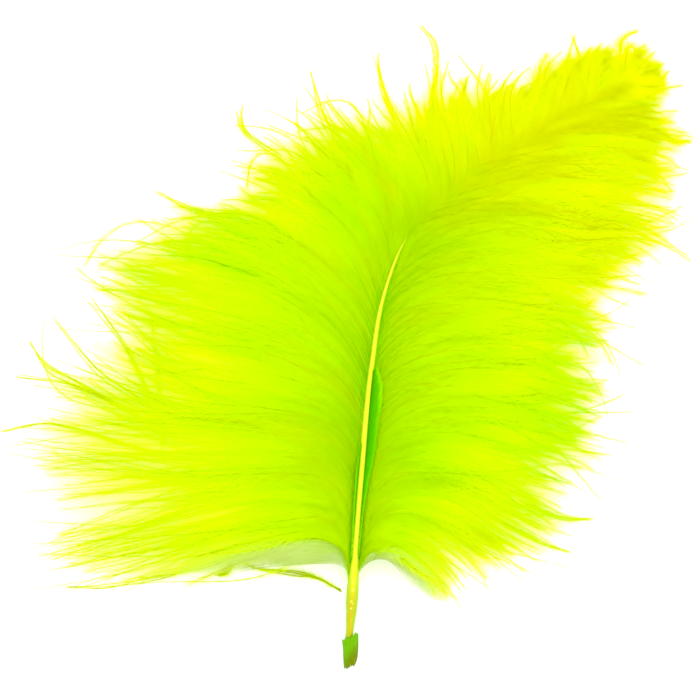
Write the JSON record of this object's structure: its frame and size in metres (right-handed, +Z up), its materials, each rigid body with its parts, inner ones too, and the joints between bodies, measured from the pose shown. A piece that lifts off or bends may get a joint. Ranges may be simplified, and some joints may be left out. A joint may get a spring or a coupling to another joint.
{
  "type": "dyed turkey plume",
  "caption": "Soft downy plume: a slender tapering shaft with long wispy barbs spreading to both sides, lying flat, for trimming, craft and fly tying.",
  "frame": {"origin": "on the table, under the middle of the feather's outline", "axes": "+Z up from the table; +Y along the lower shaft, from the quill's cut end towards the tip; +X to the right, the side that the tip bends to"},
  "size_m": [0.1278, 0.1188, 0.0133],
  "materials": {
    "down": "soft dyed down, matte and slightly translucent",
    "quill": "smooth dyed horn with a soft gloss, as on a feather's shaft"
  },
  "bodies": {
    "root": {"feather": "down"}
  },
  "joints": []
}
